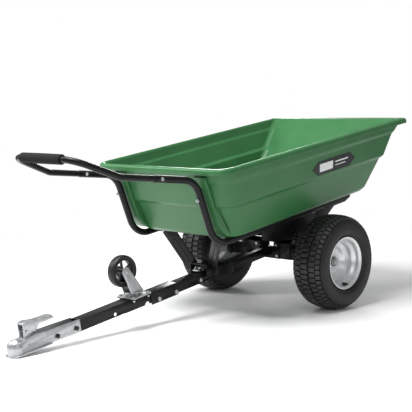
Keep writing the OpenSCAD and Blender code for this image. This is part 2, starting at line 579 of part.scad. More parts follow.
// The raised seats of the two leg tubes on the front wall, and the pockets behind them.
module pads() both() side_plate(PAD_X[0], PAD_X[1] - PAD_X[0])
    polygon([[-440, 238], [-531, 238], [-560, 262], [-586, 300], [-632, 496], [-560, 496]]);
module pad_pockets() both() side_plate(PAD_X[0] + tub_wall, PAD_X[1] - PAD_X[0] - 2 * tub_wall)
    polygon([[-490, 262 + tub_wall], [-555, 262 + tub_wall], [-580, 302], [-632 + tub_wall, 496 - tub_wall],
             [-560, 496 - tub_wall]]);
module rim_lip(inset) hull() {
    translate([0, 0, LIP_LOW - inset / 2]) linear_extrude(rim_z - LIP_LOW - inset / 2)
        rounded(rim_half - inset, -640 + inset, 540, 62 - inset);
    translate([0, 0, LIP_LOW - LIP_DROP - inset / 2]) linear_extrude(rim_z - LIP_LOW - inset / 2)
        rounded(rim_half - inset, 400, LIP_REAR - inset, 50 - inset);
}
module tub_shell() color(GREEN) stance() difference() {
    union() {
        tub_outside(0, 0);
        pads();
        rim_lip(0);
    }
    tub_inside(0, 0);
    pad_pockets();
    // Hollow under the lip, all round.
    difference() {
        rim_lip(tub_wall);
        tub_outside(0, 0);
        pads();
    }
    // Hollow between the rear wall's two faces, open below.
    difference() {
        intersection() {
            tub_outside(tub_wall, tub_wall + CUT);
            loft([for (row = TUB_IN) level(row[0] - 8, row[1] - 7, SLOPE_FOOT + 41, LIP_REAR, 8, 8)]);
            block([-rim_half, rim_half], [0, LIP_REAR], [0, LIP_LOW - LIP_DROP - 18]);
        }
        tub_inside(tub_wall, 8);
    }
    both() {
        for (y = TUB_BOLTS_Y) rod_z(SMALL + HOLE, 200, 260, TUBE_X, y);
        rod_y(SMALL + HOLE, -700, -560, LEG_BOLT[0], LEG_BOLT[1]);
    }
}
module tub_label() color("#141414") stance()
    translate([341.4, 58, 411]) rotate([0, atan2(14, 89), 0]) side_plate(0, 1)
        polygon([[-147, 0], [-108, 30], [108, 30], [147, 0], [108, -30], [-108, -30]]);
module tub_bolts() color(ZINC) stance() both() for (y = TUB_BOLTS_Y)
    mirror([0, 0, 1]) bolt_z(SMALL, -tub_floor_z - tub_wall, -TUBE_Z + leg_r, TUBE_X, y);

// ---------------------------------------------------------------- handle and frame under the tub
module handle_leg() difference() {
    bent_tube(LEG, leg_r, TUBE_T, LEG_BEND, [1, 0, 0]);
    for (y = TUB_BOLTS_Y) rod_z(SMALL + HOLE, 190, 240, TUBE_X, y);
    rod_y(SMALL + HOLE, -700, -560, LEG_BOLT[0], LEG_BOLT[1]);
    rod_x(SMALL + HOLE, 190, 250, HANDLE_BOLT.y, HANDLE_BOLT.z);
}
module handle_leg_right() color(BLACK) stance() handle_leg();
module handle_leg_left() color(BLACK) stance() mirror([1, 0, 0]) handle_leg();
module leg_bolts() color(ZINC) stance() both() bolt_y(SMALL, -646.6, -604.2, LEG_BOLT[0], LEG_BOLT[1]);
function flipped(p) = [-p.x, p.y, p.z];
BOW_ALL = [BOW[0], BOW[1], BOW[2], flipped(BOW[2]), flipped(BOW[1]), flipped(BOW[0])];
module handle_bow() color(BLACK) stance() difference() {
    bent_tube(BOW_ALL, bow_r, TUBE_T, BOW_BEND, [0, 0.1, 1]);
    both() rod_x(SMALL + HOLE, 190, 250, HANDLE_BOLT.y, HANDLE_BOLT.z);
}
module handle_bolts() color(ZINC) stance() both()
    bolt_x(SMALL, HANDLE_BOLT.x - HANDLE_BOLT_HALF, HANDLE_BOLT.x + HANDLE_BOLT_HALF, HANDLE_BOLT.y, HANDLE_BOLT.z);
module handle_grip() color("#2b2b2d") stance()
    ring_x(grip_r, bow_r, -118, 118, BOW[2].y, BOW[2].z);
module cross_tubes() color(BLACK) stance() {
    rod_x(CROSS_R, leg_r - TUBE_X, TUBE_X - leg_r, CROSS_Y, TUBE_Z);
    block([leg_r - TUBE_X, TUBE_X - leg_r], CROSS_BAR_Y, CROSS_BAR_Z);
}

axle_beam();
beam_end_caps();
axle_shaft();
axle_spacers();
axle_washers();
axle_cotters();
hinge_brackets();
pivot_shaft();
pivot_bolts();
drawbar_rear();
drawbar_flange();
flange_bolts();
drawbar_sleeve();
sleeve_bolts();
drawbar_tongue();
drawbar_front();
latch_saddle();
latch_ears();
latch_pin();
latch_spring();
latch_lever();
caster_mount();
caster_plate();
caster_bolts();
caster_race();
caster_fork();
caster_axle();
caster_core();
caster_tyre();
coupler_adapter();
coupler_housing();
coupler_bolts();
coupler_adjuster();
coupler_pins();
coupler_lever();
coupler_jaw();
tyre_left();
tyre_right();
rim_left();
rim_right();
bearings_left();
bearings_right();
valve_left();
valve_right();
tub_shell();
tub_label();
tub_bolts();
handle_leg_left();
handle_leg_right();
leg_bolts();
handle_bow();
handle_bolts();
handle_grip();
cross_tubes();
saddle_left();
saddle_right();
saddle_web();
pivot_bushes();
strut_pair();
strut_yoke();
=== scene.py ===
"""Looks of the garden dump cart: moulded tub, turf tyres, steel rims, tubes, grip, coupler and caster."""

import json
import math

import bmesh
import bpy
import numpy as np
from mathutils import Matrix, Vector


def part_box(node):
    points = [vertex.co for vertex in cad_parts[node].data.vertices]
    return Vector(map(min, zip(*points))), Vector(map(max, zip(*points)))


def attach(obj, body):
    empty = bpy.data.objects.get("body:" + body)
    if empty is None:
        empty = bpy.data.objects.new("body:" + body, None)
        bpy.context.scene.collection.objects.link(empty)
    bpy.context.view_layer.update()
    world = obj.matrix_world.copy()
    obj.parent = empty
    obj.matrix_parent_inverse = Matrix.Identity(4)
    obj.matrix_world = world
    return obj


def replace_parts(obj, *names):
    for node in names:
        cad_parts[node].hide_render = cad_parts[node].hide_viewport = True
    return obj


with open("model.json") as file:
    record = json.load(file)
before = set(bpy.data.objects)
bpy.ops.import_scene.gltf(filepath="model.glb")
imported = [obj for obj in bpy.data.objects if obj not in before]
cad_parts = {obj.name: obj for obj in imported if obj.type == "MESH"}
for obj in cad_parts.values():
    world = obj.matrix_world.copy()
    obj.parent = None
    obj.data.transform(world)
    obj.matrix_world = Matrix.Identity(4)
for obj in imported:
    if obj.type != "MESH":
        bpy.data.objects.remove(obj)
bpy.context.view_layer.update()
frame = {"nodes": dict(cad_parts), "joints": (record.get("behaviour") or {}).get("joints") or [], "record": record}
NODES = frame["nodes"]
JOINTS = {j["name"]: j for j in frame["joints"]}

# The cart's own frame: the axle's middle is its origin, and it leans on its coupler.
# Every piece below is drawn in it, in millimetres.
AXLE = Vector((0, *JOINTS["wheel_spin_right"]["pos_m"][1:]))
PLUMB = JOINTS["caster_swivel"]["axis"]
LEAN = math.atan2(-PLUMB[1], PLUMB[2])
STANCE = Matrix.Translation(AXLE) @ Matrix.Rotation(LEAN, 4, "X")
MM = 0.001
WHEEL_X = JOINTS["wheel_spin_right"]["pos_m"][0] / MM


# ---------------------------------------------------------------- mesh helpers
def make(name, verts, faces, material, body, smooth_angle=40):
    """A piece from millimetre points, smooth up to an angle, riding on a body."""
    mesh = bpy.data.meshes.new(name)
    mesh.from_pydata([tuple(np.array(v) * MM) for v in verts], [], [tuple(int(i) for i in f) for f in faces])
    mesh.transform(STANCE)
    mesh.validate()
    shell = bmesh.new()
    shell.from_mesh(mesh)
    bmesh.ops.recalc_face_normals(shell, faces=shell.faces)
    shell.to_mesh(mesh)
    shell.free()
    mesh.shade_smooth()
    mesh.materials.append(material)
    piece = bpy.data.objects.new(name, mesh)
    bpy.context.scene.collection.objects.link(piece)
    if smooth_angle:
        split_edges(piece, smooth_angle)
    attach(piece, body)
    return piece


def split_edges(piece, angle):
    """Keeps edges sharper than an angle crisp under smooth shading."""
    split = piece.modifiers.new("sharp_edges", "EDGE_SPLIT")
    split.split_angle = math.radians(angle)
    split.use_edge_sharp = False


def bevel(piece, width, segments=2, angle=35):
    """Rounds a piece's sharp edges by a width in millimetres."""
    rounding = piece.modifiers.new("rounded_edges", "BEVEL")
    rounding.width = width * MM
    rounding.segments = segments
    rounding.limit_method = "ANGLE"
    rounding.angle_limit = math.radians(angle)
    rounding.use_clamp_overlap = False


def prism(name, outline, ends, material, body, smooth_angle=40):
    """A flat outline of (y, z) points made thick between two x positions."""
    count = len(outline)
    verts = [(x, y, z) for x in ends for y, z in outline]
    faces = [tuple(range(count)), tuple(reversed(range(count, 2 * count)))]
    faces += [(k, count + k, count + (k + 1) % count, (k + 1) % count) for k in range(count)]
    return make(name, verts, faces, material, body, smooth_angle)


def rings_to_faces(rings, count, closed=False):
    """Quads between neighbouring rings of equal count."""
    faces = []
    for i in range(rings if closed else rings - 1):
        a, b = i * count, (i + 1) % rings * count
        for k in range(count):
            k2 = (k + 1) % count
            faces.append((a + k, a + k2, b + k2, b + k))
    return faces


def fillet(points, radius, steps=4):
    """Replaces each inner corner of a polyline, in any number of dimensions, by a smooth curve."""
    points = [np.array(p, float) for p in points]
    out = [points[0]]
    for before, corner, after in zip(points, points[1:], points[2:]):
        back, ahead = before - corner, after - corner
        lb, la = np.linalg.norm(back), np.linalg.norm(ahead)
        reach = min(radius, lb * 0.45, la * 0.45)
        start, end = corner + back / lb * reach, corner + ahead / la * reach
        for i in range(steps + 1):
            t = i / steps
            out.append((1 - t) ** 2 * start + 2 * t * (1 - t) * corner + t * t * end)
    out.append(points[-1])
    return out


def lathe(name, section, material, body, centre, segments=128, smooth_angle=40):
    """Turns a closed section of (radius, x) points round the X axis through a centre."""
    count = len(section)
    cx, cy, cz = centre
    verts = []
    for k in range(segments):
        a = 2 * math.pi * k / segments
        verts += [(cx + x, cy + r * math.sin(a), cz + r * math.cos(a)) for r, x in section]
    return make(name, verts, rings_to_faces(segments, count, True), material, body, smooth_angle)


def sweep(path, radius, sides=32):
    """Rings of a tube along a path, kept from twisting, as (points, ring count)."""
    path = [np.array(p, float) for p in path]
    verts, side = [], None
    for i, p in enumerate(path):
        d = path[min(i + 1, len(path) - 1)] - path[max(i - 1, 0)]
        d /= np.linalg.norm(d)
        if side is None:
            side = np.cross(d, (0.0, 0.0, 1.0) if abs(d[2]) < 0.9 else (1.0, 0.0, 0.0))
        side = side - d * np.dot(side, d)
        side /= np.linalg.norm(side)
        up = np.cross(d, side)
        for k in range(sides):
            a = 2 * math.pi * k / sides
            verts.append(p + radius * (math.cos(a) * side + math.sin(a) * up))
    return verts, len(path)


def tube(name, path, radius, wall, material, body, sides=32):
    """An open steel tube: its outside, its inside and the rims that join them."""
    outside, rings = sweep(path, radius, sides)
    inside, _ = sweep(path, radius - wall, sides)
    backward = [p for i in reversed(range(rings)) for p in inside[i * sides:(i + 1) * sides]]
    return make(name, outside + backward, rings_to_faces(2 * rings, sides, True), material, body, 50)


def wire(name, path, radius, material, body, sides=12):
    """A solid wire with flat ends."""
    verts, rings = sweep(path, radius, sides)
    faces = rings_to_faces(rings, sides)
    faces.append(tuple(reversed(range(sides))))
    faces.append(tuple((rings - 1) * sides + k for k in range(sides)))
    return make(name, verts, faces, material, body, 50)


def bend(corners, radius, steps=10):
    """A tube's middle line with every inner corner turned into a true arc."""
    corners = [np.array(p, float) for p in corners]
    out = [corners[0]]
    for before, corner, after in zip(corners, corners[1:], corners[2:]):
        d1 = (corner - before) / np.linalg.norm(corner - before)
        d2 = (after - corner) / np.linalg.norm(after - corner)
        angle = math.acos(np.clip(np.dot(d1, d2), -1, 1))
        start = corner - d1 * radius * math.tan(angle / 2)
        inward = d2 - d1 * np.dot(d1, d2)
        inward /= np.linalg.norm(inward)
        for i in range(steps + 1):
            a = angle * i / steps
            out.append(start + radius * (math.sin(a) * d1 + (1 - math.cos(a)) * inward))
    out.append(corners[-1])
    return out


# ---------------------------------------------------------------- materials
def new_material(name):
    """An empty node material, with its shader and the object coordinates."""
    material = bpy.data.materials.new(name)
    material.use_nodes = True
    tree = material.node_tree
    shader = tree.nodes["Principled BSDF"]
    coords = tree.nodes.new("ShaderNodeTexCoord")
    return material, tree, shader, coords.outputs["Object"]


def noise(tree, coords, scale, detail=3.0, roughness=0.55):
    """A soft noise, as a value from 0 to 1."""
    node = tree.nodes.new("ShaderNodeTexNoise")
    node.inputs["Scale"].default_value = scale
    node.inputs["Detail"].default_value = detail
    node.inputs["Roughness"].default_value = roughness
    tree.links.new(coords, node.inputs["Vector"])
    return node.outputs["Fac"]


def cells(tree, coords, scale):
    """A pattern of small irregular cells."""
    node = tree.nodes.new("ShaderNodeTexVoronoi")
    node.inputs["Scale"].default_value = scale
    tree.links.new(coords, node.inputs["Vector"])
    return node


def ramp(tree, value, stops):
    """Maps a value to colours; stops are (place, colour) or (place, grey)."""
    node = tree.nodes.new("ShaderNodeValToRGB")
    elements = node.color_ramp.elements
    while len(elements) < len(stops):
        elements.new(0.5)
    for element, (place, colour) in zip(elements, stops):
        element.position = place
        element.color = (*colour, 1) if isinstance(colour, tuple) else (colour, colour, colour, 1)
    tree.links.new(value, node.inputs["Fac"])
    return node.outputs["Color"]


def add_bump(tree, shader, layers):
    """Stacks bumps; layers are (height, strength, distance in millimetres)."""
    last = None
    for height, strength, distance in layers:
        node = tree.nodes.new("ShaderNodeBump")
        node.inputs["Strength"].default_value = strength
        node.inputs["Distance"].default_value = distance * MM
        tree.links.new(height, node.inputs["Height"])
        if last is not None:
            tree.links.new(last, node.inputs["Normal"])
        last = node.outputs["Normal"]
    tree.links.new(last, shader.inputs["Normal"])


def surface(name, colours, rough, grain, speck, metallic=0.0, bump=0.25, specular=0.5):
    """Two colours in soft patches, roughness that varies with the grain, and a fine bump."""
    material, tree, shader, coords = new_material(name)
    patches = noise(tree, coords, grain)
    fine = noise(tree, coords, speck, 2.0)
    tree.links.new(ramp(tree, patches, [(0.35, colours[0]), (0.65, colours[1])]), shader.inputs["Base Color"])
    tree.links.new(ramp(tree, patches, [(0.3, rough[0]), (0.7, rough[1])]), shader.inputs["Roughness"])
    shader.inputs["Metallic"].default_value = metallic
    shader.inputs["Specular IOR Level"].default_value = specular
    add_bump(tree, shader, [(patches, 0.12, 1.0), (fine, bump, 0.25)])
    return material


def galvanised():
    """Smooth zinc: a soft cloud of tone and gloss over a fine grain."""
    material, tree, shader, coords = new_material("zinc_plate")
    cloud = noise(tree, coords, 45, 4.0)
    grain = noise(tree, coords, 420, 2.0)
    tone = ramp(tree, cloud, [(0.35, (0.40, 0.41, 0.42)), (0.65, (0.48, 0.49, 0.50))])
    tree.links.new(tone, shader.inputs["Base Color"])
    tree.links.new(ramp(tree, cloud, [(0.3, 0.36), (0.7, 0.46)]), shader.inputs["Roughness"])
    shader.inputs["Metallic"].default_value = 0.92
    add_bump(tree, shader, [(cloud, 0.10, 0.5), (grain, 0.12, 0.12)])
    return material


def foam():
    """Dull black foam with fine pores."""
    material, tree, shader, coords = new_material("grip_foam")
    pores = cells(tree, coords, 900)
    soft = noise(tree, coords, 60)
    tree.links.new(ramp(tree, soft, [(0.3, 0.004), (0.7, 0.008)]), shader.inputs["Base Color"])
    shader.inputs["Roughness"].default_value = 0.9
    shader.inputs["Specular IOR Level"].default_value = 0.3
    add_bump(tree, shader, [(soft, 0.3, 1.2), (pores.outputs["Distance"], 0.5, 0.4)])
    return material


GREEN = surface("tub_polyethylene", ((0.032, 0.136, 0.046), (0.040, 0.154, 0.054)), (0.28, 0.36), 6, 700,
                bump=0.08, specular=0.32)
BLACK = surface("black_powder_coat", ((0.0045, 0.0045, 0.0050), (0.0070, 0.0070, 0.0075)), (0.26, 0.36),
                25, 900, bump=0.18, specular=0.22)
RUBBER = surface("tyre_rubber", ((0.0060, 0.0060, 0.0065), (0.0100, 0.0100, 0.0105)), (0.40, 0.52), 18, 500,
                 bump=0.25, specular=0.34)
# The lugs are the carcass's rubber with a lighter base colour: painted light, standing in for the light that falls
# on the lugs' tops.
TREAD_RUBBER_PAINTED_LIGHT = surface("tread_rubber_painted_light", ((0.016, 0.016, 0.017), (0.026, 0.026, 0.027)), (0.38, 0.50),
                       18, 500, bump=0.25, specular=0.5)
RIM = surface("silver_rim_paint", ((0.66, 0.67, 0.68), (0.76, 0.77, 0.78)), (0.28, 0.38), 12, 800,
              metallic=0.75, bump=0.08)
CASTER_BLACK = surface("caster_polymer", ((0.008, 0.008, 0.009), (0.013, 0.013, 0.014)), (0.40, 0.52),
                       30, 700, specular=0.35)
BEARING = surface("bearing_polymer", ((0.014, 0.014, 0.015), (0.020, 0.020, 0.021)), (0.40, 0.52), 40, 900)
BLACK_BOLT = surface("black_oxide", ((0.02, 0.02, 0.022), (0.035, 0.035, 0.037)), (0.35, 0.5), 60, 900,
                     metallic=0.8)
LABEL = surface("label_film", ((0.008, 0.009, 0.012), (0.012, 0.013, 0.017)), (0.22, 0.30), 10, 500,
                bump=0.05)
LABEL_WHITE = surface("label_white", ((0.72, 0.73, 0.74), (0.80, 0.81, 0.82)), (0.30, 0.36), 10, 500,
                      bump=0.05)
ZINC = galvanised()
FOAM = foam()

BY_SLOT = {"powder_black": BLACK, "zinc": ZINC, "tub_plastic": GREEN, "label_film": LABEL, "tyre": RUBBER,
           "rim_silver": RIM, "bearing_plastic": BEARING, "soft_rubber": RUBBER, "caster_core": CASTER_BLACK,
           "bolt_black": BLACK_BOLT}
EDGE = {"powder_black": 0.8, "zinc": 0.45, "bolt_black": 0.4, "caster_core": 1.2, "bearing_plastic": 0.4}


def dress_cad():
    """Gives every CAD node its material, welded facets and softened edges."""
    for sub in frame["record"]["subparts"]:
        node = NODES[sub["node"]]
        slot = sub["material_slot"]
        node.data.materials.clear()
        node.data.materials.append(BY_SLOT[slot])
        if node.data.attributes.get("custom_normal"):
            node.data.attributes.remove(node.data.attributes["custom_normal"])
        node.data.shade_smooth()
        weld = node.modifiers.new("weld", "WELD")
        weld.merge_threshold = 0.01 * MM
        flat = node.modifiers.new("flat_faces", "DECIMATE")
        flat.decimate_type = "DISSOLVE"
        flat.angle_limit = math.radians(1)
        bevel(node, EDGE.get(slot, 0.5))
        split_edges(node, 38)


dress_cad()


# ---------------------------------------------------------------- tub
FLOOR_LOW = 229.0
WALL = 5.0
RIM_TOP = 528.0
CORNER_STEPS = 12
SLOPE_FOOT = 203.0
SLOPE_RUN = 1.13
REAR_R = 32.0


def slope_y(z):
    """The dump slope's face at a height."""
    return SLOPE_FOOT + SLOPE_RUN * (z - FLOOR_LOW - WALL)


# Levels of the outside: height, half width, front, rear, front radius, rear radius.
OUTSIDE = [(FLOOR_LOW, 262, -518, 350, 66, 30), (242, 275, -533, 372, 72, REAR_R),
           (362, 320, -578, 438, 74, REAR_R), (373, 335, -592, 450, 76, REAR_R),
           (462, 349, -608, 508, 74, REAR_R), (474, 357, -617, 522, 72, REAR_R),
           (508, 362, -624, 550, 68, REAR_R)]
# Levels of the inside, from the rim down: height, half width, front, front radius.
INSIDE = [(484, 352, -612, 60), (476, 345, -606, 63), (403, 328, -588, 68), (394, 315, -574, 68),
          (352, 311, -570, 68), (244, 269, -526, 66), (FLOOR_LOW + WALL, 258, -514, 60)]
SLOPE_R = 26.0
# The hollow behind the slope, from its ceiling down to its mouth.
HOLLOW = [(466, 333, 476, 504, 10, 22), (378, 322, 376, 450, 10, 25), (362, 305, 362, 432, 10, 25),
          (262, 262, 249, 378, 10, 25), (FLOOR_LOW, 250, 243, 345, 10, 25)]
LIP_HALF = 375.0
LIP_FRONT = -640.0
LIP_REAR = 605.0
LIP_DROP = 15.0
DROP_FROM = 400.0
# The droop begins at this height and is complete this much higher.
DROOP_START = 485.0
DROOP_BLEND = 18.0


def lip_drop(y):
    """How far the rim droops towards its rear edge."""
    t = max(0.0, (y - DROP_FROM) / (LIP_REAR - DROP_FROM))
    return LIP_DROP * t ** 2


def level(row):
    """One outline of a level, with round corners; the rim's levels droop to the rear."""
    z, half, front, rear, front_r, rear_r = row
    droop = min(1.0, max(0.0, (z - DROOP_START) / DROOP_BLEND))
    points = []
    for q, (sx, rear_side) in enumerate([(1, True), (-1, True), (-1, False), (1, False)]):
        r = rear_r if rear_side else front_r
        cx, cy = sx * (half - r), (rear - r if rear_side else front + r)
        for k in range(CORNER_STEPS + 1):
            a = math.radians(90 * q + 90 * k / CORNER_STEPS)
            x, y = cx + r * math.cos(a), cy + r * math.sin(a)
            points.append((x, y, z - droop * lip_drop(y)))
    return points


def lip_level(z, inset, front_r, rear_r):
    """A level of the rolled lip, drawn in from its outermost line."""
    return z, LIP_HALF - inset, LIP_FRONT + inset, LIP_REAR - inset, front_r, rear_r


def tub():
    """The whole moulding as one skin: hollow, underside, outside, lip, inside and floor."""
    under_lip = [(520, 365, -628, 556, 62, REAR_R),
                 (521, LIP_HALF - 7, LIP_FRONT + 7, LIP_REAR - 8, 55, 43)]
    lip = [lip_level(507, 5, 57, 45), lip_level(504, 2.5, 60, 48), lip_level(507, 0, 62, 50),
           lip_level(RIM_TOP - 9, 0, 62, 50), lip_level(RIM_TOP - 3, 2.5, 60, 48),
           lip_level(RIM_TOP, 9, 54, 42),
           (RIM_TOP, LIP_HALF - 14, LIP_FRONT + 16, slope_y(RIM_TOP) + 8, 55, 34)]
    throat = [(RIM_TOP - 8, 357, -619, slope_y(RIM_TOP - 8), 57, SLOPE_R)]
    inside = [(z, half, front, slope_y(z), r, SLOPE_R) for z, half, front, r in INSIDE]
    rows = fillet(HOLLOW, 5, 2) + fillet(OUTSIDE + under_lip + lip + throat + inside, 7, 4)
    verts = [p for row in rows for p in level(row)]
    count = 4 * (CORNER_STEPS + 1)
    faces = rings_to_faces(len(rows), count)
    faces.append(tuple(reversed(range(count))))
    faces.append(tuple((len(rows) - 1) * count + k for k in range(count)))
    piece = make("tub_moulding", verts, faces, GREEN, "tub", 32)
    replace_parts(piece, "tub_shell")


# The pads' outline of (y, z): up the face, and down inside the thickness of the front wall.
PAD_FACE = [(-534, 241), (-558.5, 263), (-584.5, 300.5), (-630.5, 494)]
PAD_BACK = [(-617, 494), (-605, 462), (-590, 400), (-574.5, 362), (-552, 300.5), (-537, 263), (-528.5, 244)]
PAD_X = (197.5, 264.5)
PAD_ROUNDING = 2.8


def pads():
    """Two raised pads on the front wall, where the leg tubes are bolted on."""
    for side, word in ((-1, "left"), (1, "right")):
        ends = sorted(side * x for x in PAD_X)
        piece = prism(f"tub_pad_{word}", PAD_FACE + PAD_BACK, ends, GREEN, "tub", 0)
        bevel(piece, PAD_ROUNDING, 4)
        split_edges(piece, 40)


tub()
pads()

# ---------------------------------------------------------------- tyres and rims
TYRE_R = 200.0
RIM_R = 101.5
TYRE_HALF_W = 78.0
TYRE_WALL = 9
SQUARENESS = 2.9  # 2 would be an ellipse
BEAD_ANGLE = -42
SECTION_SWEEP = 180 - 2 * BEAD_ANGLE
TREAD_DEPTH = 6.5
HATCH_DEPTH = 1.4
TREAD_EDGE, TREAD_BLEND, HATCH_EDGE = 0.47, 0.06, 0.36  # as sines of the section's angle
RING_AT, RING_HALF, RING_DEPTH = -27, 2.2, 1.1


def tyre_point(a, inset):
    """A point (radius, x) of the tyre's rounded section; a runs from one side to the other."""
    mid, half = (TYRE_R + RIM_R) / 2, (TYRE_R - RIM_R) / 2

    def swell(v):
        return math.copysign(abs(v) ** (2 / SQUARENESS), v)

    return mid + (half - inset) * swell(math.sin(a)), (TYRE_HALF_W - inset) * swell(math.cos(a))


def tyre_section(steps=132, inner_steps=32):
    """The carcass with its bead, a sidewall ring and the ground between the lugs."""
    out = []
    for i in range(steps + 1):
        deg = BEAD_ANGLE + SECTION_SWEEP * i / steps
        crown = math.sin(math.radians(deg))
        inset = TREAD_DEPTH * min(1.0, max(0.0, (crown - TREAD_EDGE) / TREAD_BLEND))
        for side in (RING_AT, 180 - RING_AT):
            inset += RING_DEPTH if abs(deg - side) <= RING_HALF else 0.0
        if crown > HATCH_EDGE:
            inset = max(inset, HATCH_DEPTH)
        out.append(tyre_point(math.radians(deg), inset))
    inner = [tyre_point(math.radians(BEAD_ANGLE + SECTION_SWEEP * i / inner_steps), TYRE_WALL)
             for i in range(inner_steps, -1, -1)]
    return out + inner


def lug(verts, faces, across, turn, span, zigzag, layers):
    """One block over the section angles `across` and a span of the wheel's turn, in layers of depth."""
    base = len(verts)
    mid, half = (across[0] + across[1]) / 2, (across[1] - across[0]) / 2
    for depth, shrink in layers:
        for u in (-1, 1):
            for k, v in enumerate((-1, -0.5, 0, 0.5, 1)):
                a = mid + half * u * shrink + zigzag * (k % 2)
                r, x = tyre_point(math.radians(a), depth)
                t = turn + span / 2 * (v * shrink + zigzag * 0.02 * u)
                verts.append((x, r * math.sin(t), r * math.cos(t)))
    loop = [0, 1, 2, 3, 4, 9, 8, 7, 6, 5]
    for layer in range(len(layers) - 1):
        lo, hi = base + layer * 10, base + (layer + 1) * 10
        for i in range(10):
            p, q = loop[i], loop[(i + 1) % 10]
            faces.append((lo + p, lo + q, hi + q, hi + p))
    top = base + 10 * (len(layers) - 1)
    for i in range(4):
        faces.append((top + i, top + i + 1, top + 6 + i, top + 5 + i))
        faces.append((base + 5 + i, base + 6 + i, base + i + 1, base + i))


LUGS_ROUND = 54
# Layers of a lug and of a sidewall bar, from the foot up: depth under the surface, share of the outline.
LUG_LAYERS = ((TREAD_DEPTH + 0.8, 1.0), (1.3, 0.96), (0.0, 0.86))
HATCH_LAYERS = ((HATCH_DEPTH + 0.5, 1.0), (0.2, 0.8))
# Rows of lugs: section angles, place along the pitch, share of the pitch, zigzag of the edges in degrees.
LUG_ROWS = (((83, 97), 0.0, 0.80, 1.4), ((57.5, 80.5), 0.5, 0.78, -2.0), ((99.5, 122.5), 0.5, 0.78, 2.0),
            ((31, 55), 0.0, 0.78, 1.8), ((125, 149), 0.0, 0.78, -1.8))
HATCH_ROWS = ((23.5, 28.5), (151.5, 156.5))
HATCH_FILL = 0.2


def tread():
    """Five staggered rows of turf lugs, with fine bars on the sidewall under them."""
    verts, faces = [], []
    pitch = math.tau / LUGS_ROUND
    for k in range(LUGS_ROUND):
        for across, phase, fill, zigzag in LUG_ROWS:
            lug(verts, faces, across, (k + phase) * pitch, fill * pitch, zigzag, LUG_LAYERS)
        for half_step in (0.25, 0.75):
            for across in HATCH_ROWS:
                lug(verts, faces, across, (k + half_step) * pitch, HATCH_FILL * pitch, 0.0, HATCH_LAYERS)
    return verts, faces


# The rim's section of (radius, x): its outer face from the barrel's middle to the hub, and the way back.
RIM_PROFILE = [(87, 0), (87, 30), (100, 44), (100.5, 60), (110.5, 64.5), (111, 68), (107.5, 68), (98, 62.5),
               (97.5, 46), (84, 33), (84, 13), (67, 11), (55, -5), (34, -5), (26, 2), (21.5, 2)]
DISH_BACK = [(21.5, -1), (25, -1), (33, -8), (56, -8), (68, 8), (84, 9), (84, -33), (97.5, -46), (98, -62.5),
             (107.5, -68), (111, -68), (110.5, -64.5), (100.5, -60), (100, -44), (87, -30), (87, 0)]


HUB_BORE, HUB_R = 17.5, 21.5
HUB_ENDS = (-72, 4)


def wheel(side, word):
    """A tyre with its tread, and a rim with its hub; the disc faces away from the cart."""
    body = f"wheel_{word}"
    centre = (side * WHEEL_X, 0, 0)

    def turned(name, section, material, segments, smooth_angle):
        facing = [(r, side * x) for r, x in section]
        return lathe(f"{name}_{word}", facing, material, body, centre, segments, smooth_angle)

    tyre = turned("tyre_carcass", tyre_section(), RUBBER, 176, 45)
    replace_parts(tyre, f"tyre_{word}")
    verts, faces = tread()
    verts = [(x + centre[0], y, z) for x, y, z in verts]
    # The lugs get the lighter rubber, which paints light onto the tread.
    make(f"tyre_tread_{word}", verts, faces, TREAD_RUBBER_PAINTED_LIGHT, body, 50)
    disc = fillet(RIM_PROFILE, 4, 4) + fillet(DISH_BACK, 4, 4)[:-1]
    rim = turned("rim_shell", disc, RIM, 144, 50)
    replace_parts(rim, f"rim_{word}")
    inner, outer = HUB_ENDS
    sleeve = [(HUB_BORE, inner), (HUB_R, inner), (HUB_R, outer), (HUB_BORE, outer)]
    hub = turned("rim_hub", sleeve, RIM, 64, 40)
    bevel(hub, 0.6)


wheel(-1, "left")
wheel(1, "right")

# ---------------------------------------------------------------- handle
LEG_R, BOW_R, TUBE_WALL = 14.0, 12.2, 1.5
TUBE_Z = FLOOR_LOW - LEG_R
LEG = [(230, 90, TUBE_Z), (230, -586, TUBE_Z), (230, -648, 487), (216.5, -838, 534)]
LEG_BEND, BOW_BEND = 90, 70
BOW_END = (178, -1158, 666)
GRIP_R, GRIP_HALF, GRIP_ROLL = 19.0, 118.0, 4.5


def on_leg(y):
    """A point of the leg's last straight, where the handle's bow slides in."""
    low, high = np.array(LEG[2], float), np.array(LEG[3], float)
    return low + (high - low) * (y - low[1]) / (high[1] - low[1])


def mirrored(points, side):
    """The points as they are for side 1, or on the other side of the cart for side -1."""
    return [(side * p[0], p[1], p[2]) for p in points]


def handle():
    """The two bent leg tubes, and the bow that slides into them."""
    for side, word in ((-1, "left"), (1, "right")):
        path = mirrored(bend(LEG, LEG_BEND), side)
        leg = tube(f"leg_tube_{word}", path, LEG_R, TUBE_WALL, BLACK, "tub")
        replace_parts(leg, f"handle_leg_{word}")
    half = [on_leg(-780), on_leg(-987), BOW_END]
    path = bend(half + mirrored(half[::-1], -1), BOW_BEND)
    bow = tube("push_bow", path, BOW_R, TUBE_WALL, BLACK, "tub")
    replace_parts(bow, "handle_bow")


def grip():
    """A foam sleeve, a little fuller in the middle, with rolled ends."""
    shoulder = GRIP_R - GRIP_ROLL
    near_end = [(BOW_R, -GRIP_HALF), (shoulder, -GRIP_HALF)]
    for i in range(1, 9):
        a = math.pi / 2 * i / 8
        near_end.append((shoulder + GRIP_ROLL * math.sin(a) * 0.9, -GRIP_HALF + 5 * (1 - math.cos(a))))
    places = [-1 + 2 * i / 12 for i in range(1, 12)]
    middle = [(GRIP_R - 0.45 * t * t, t * (GRIP_HALF - 6)) for t in places]
    section = near_end + middle + [(r, -x) for r, x in reversed(near_end)]
    piece = lathe("foam_sleeve", section, FOAM, "tub", (0, *BOW_END[1:]), 48, 50)
    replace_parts(piece, "handle_grip")


handle()
grip()


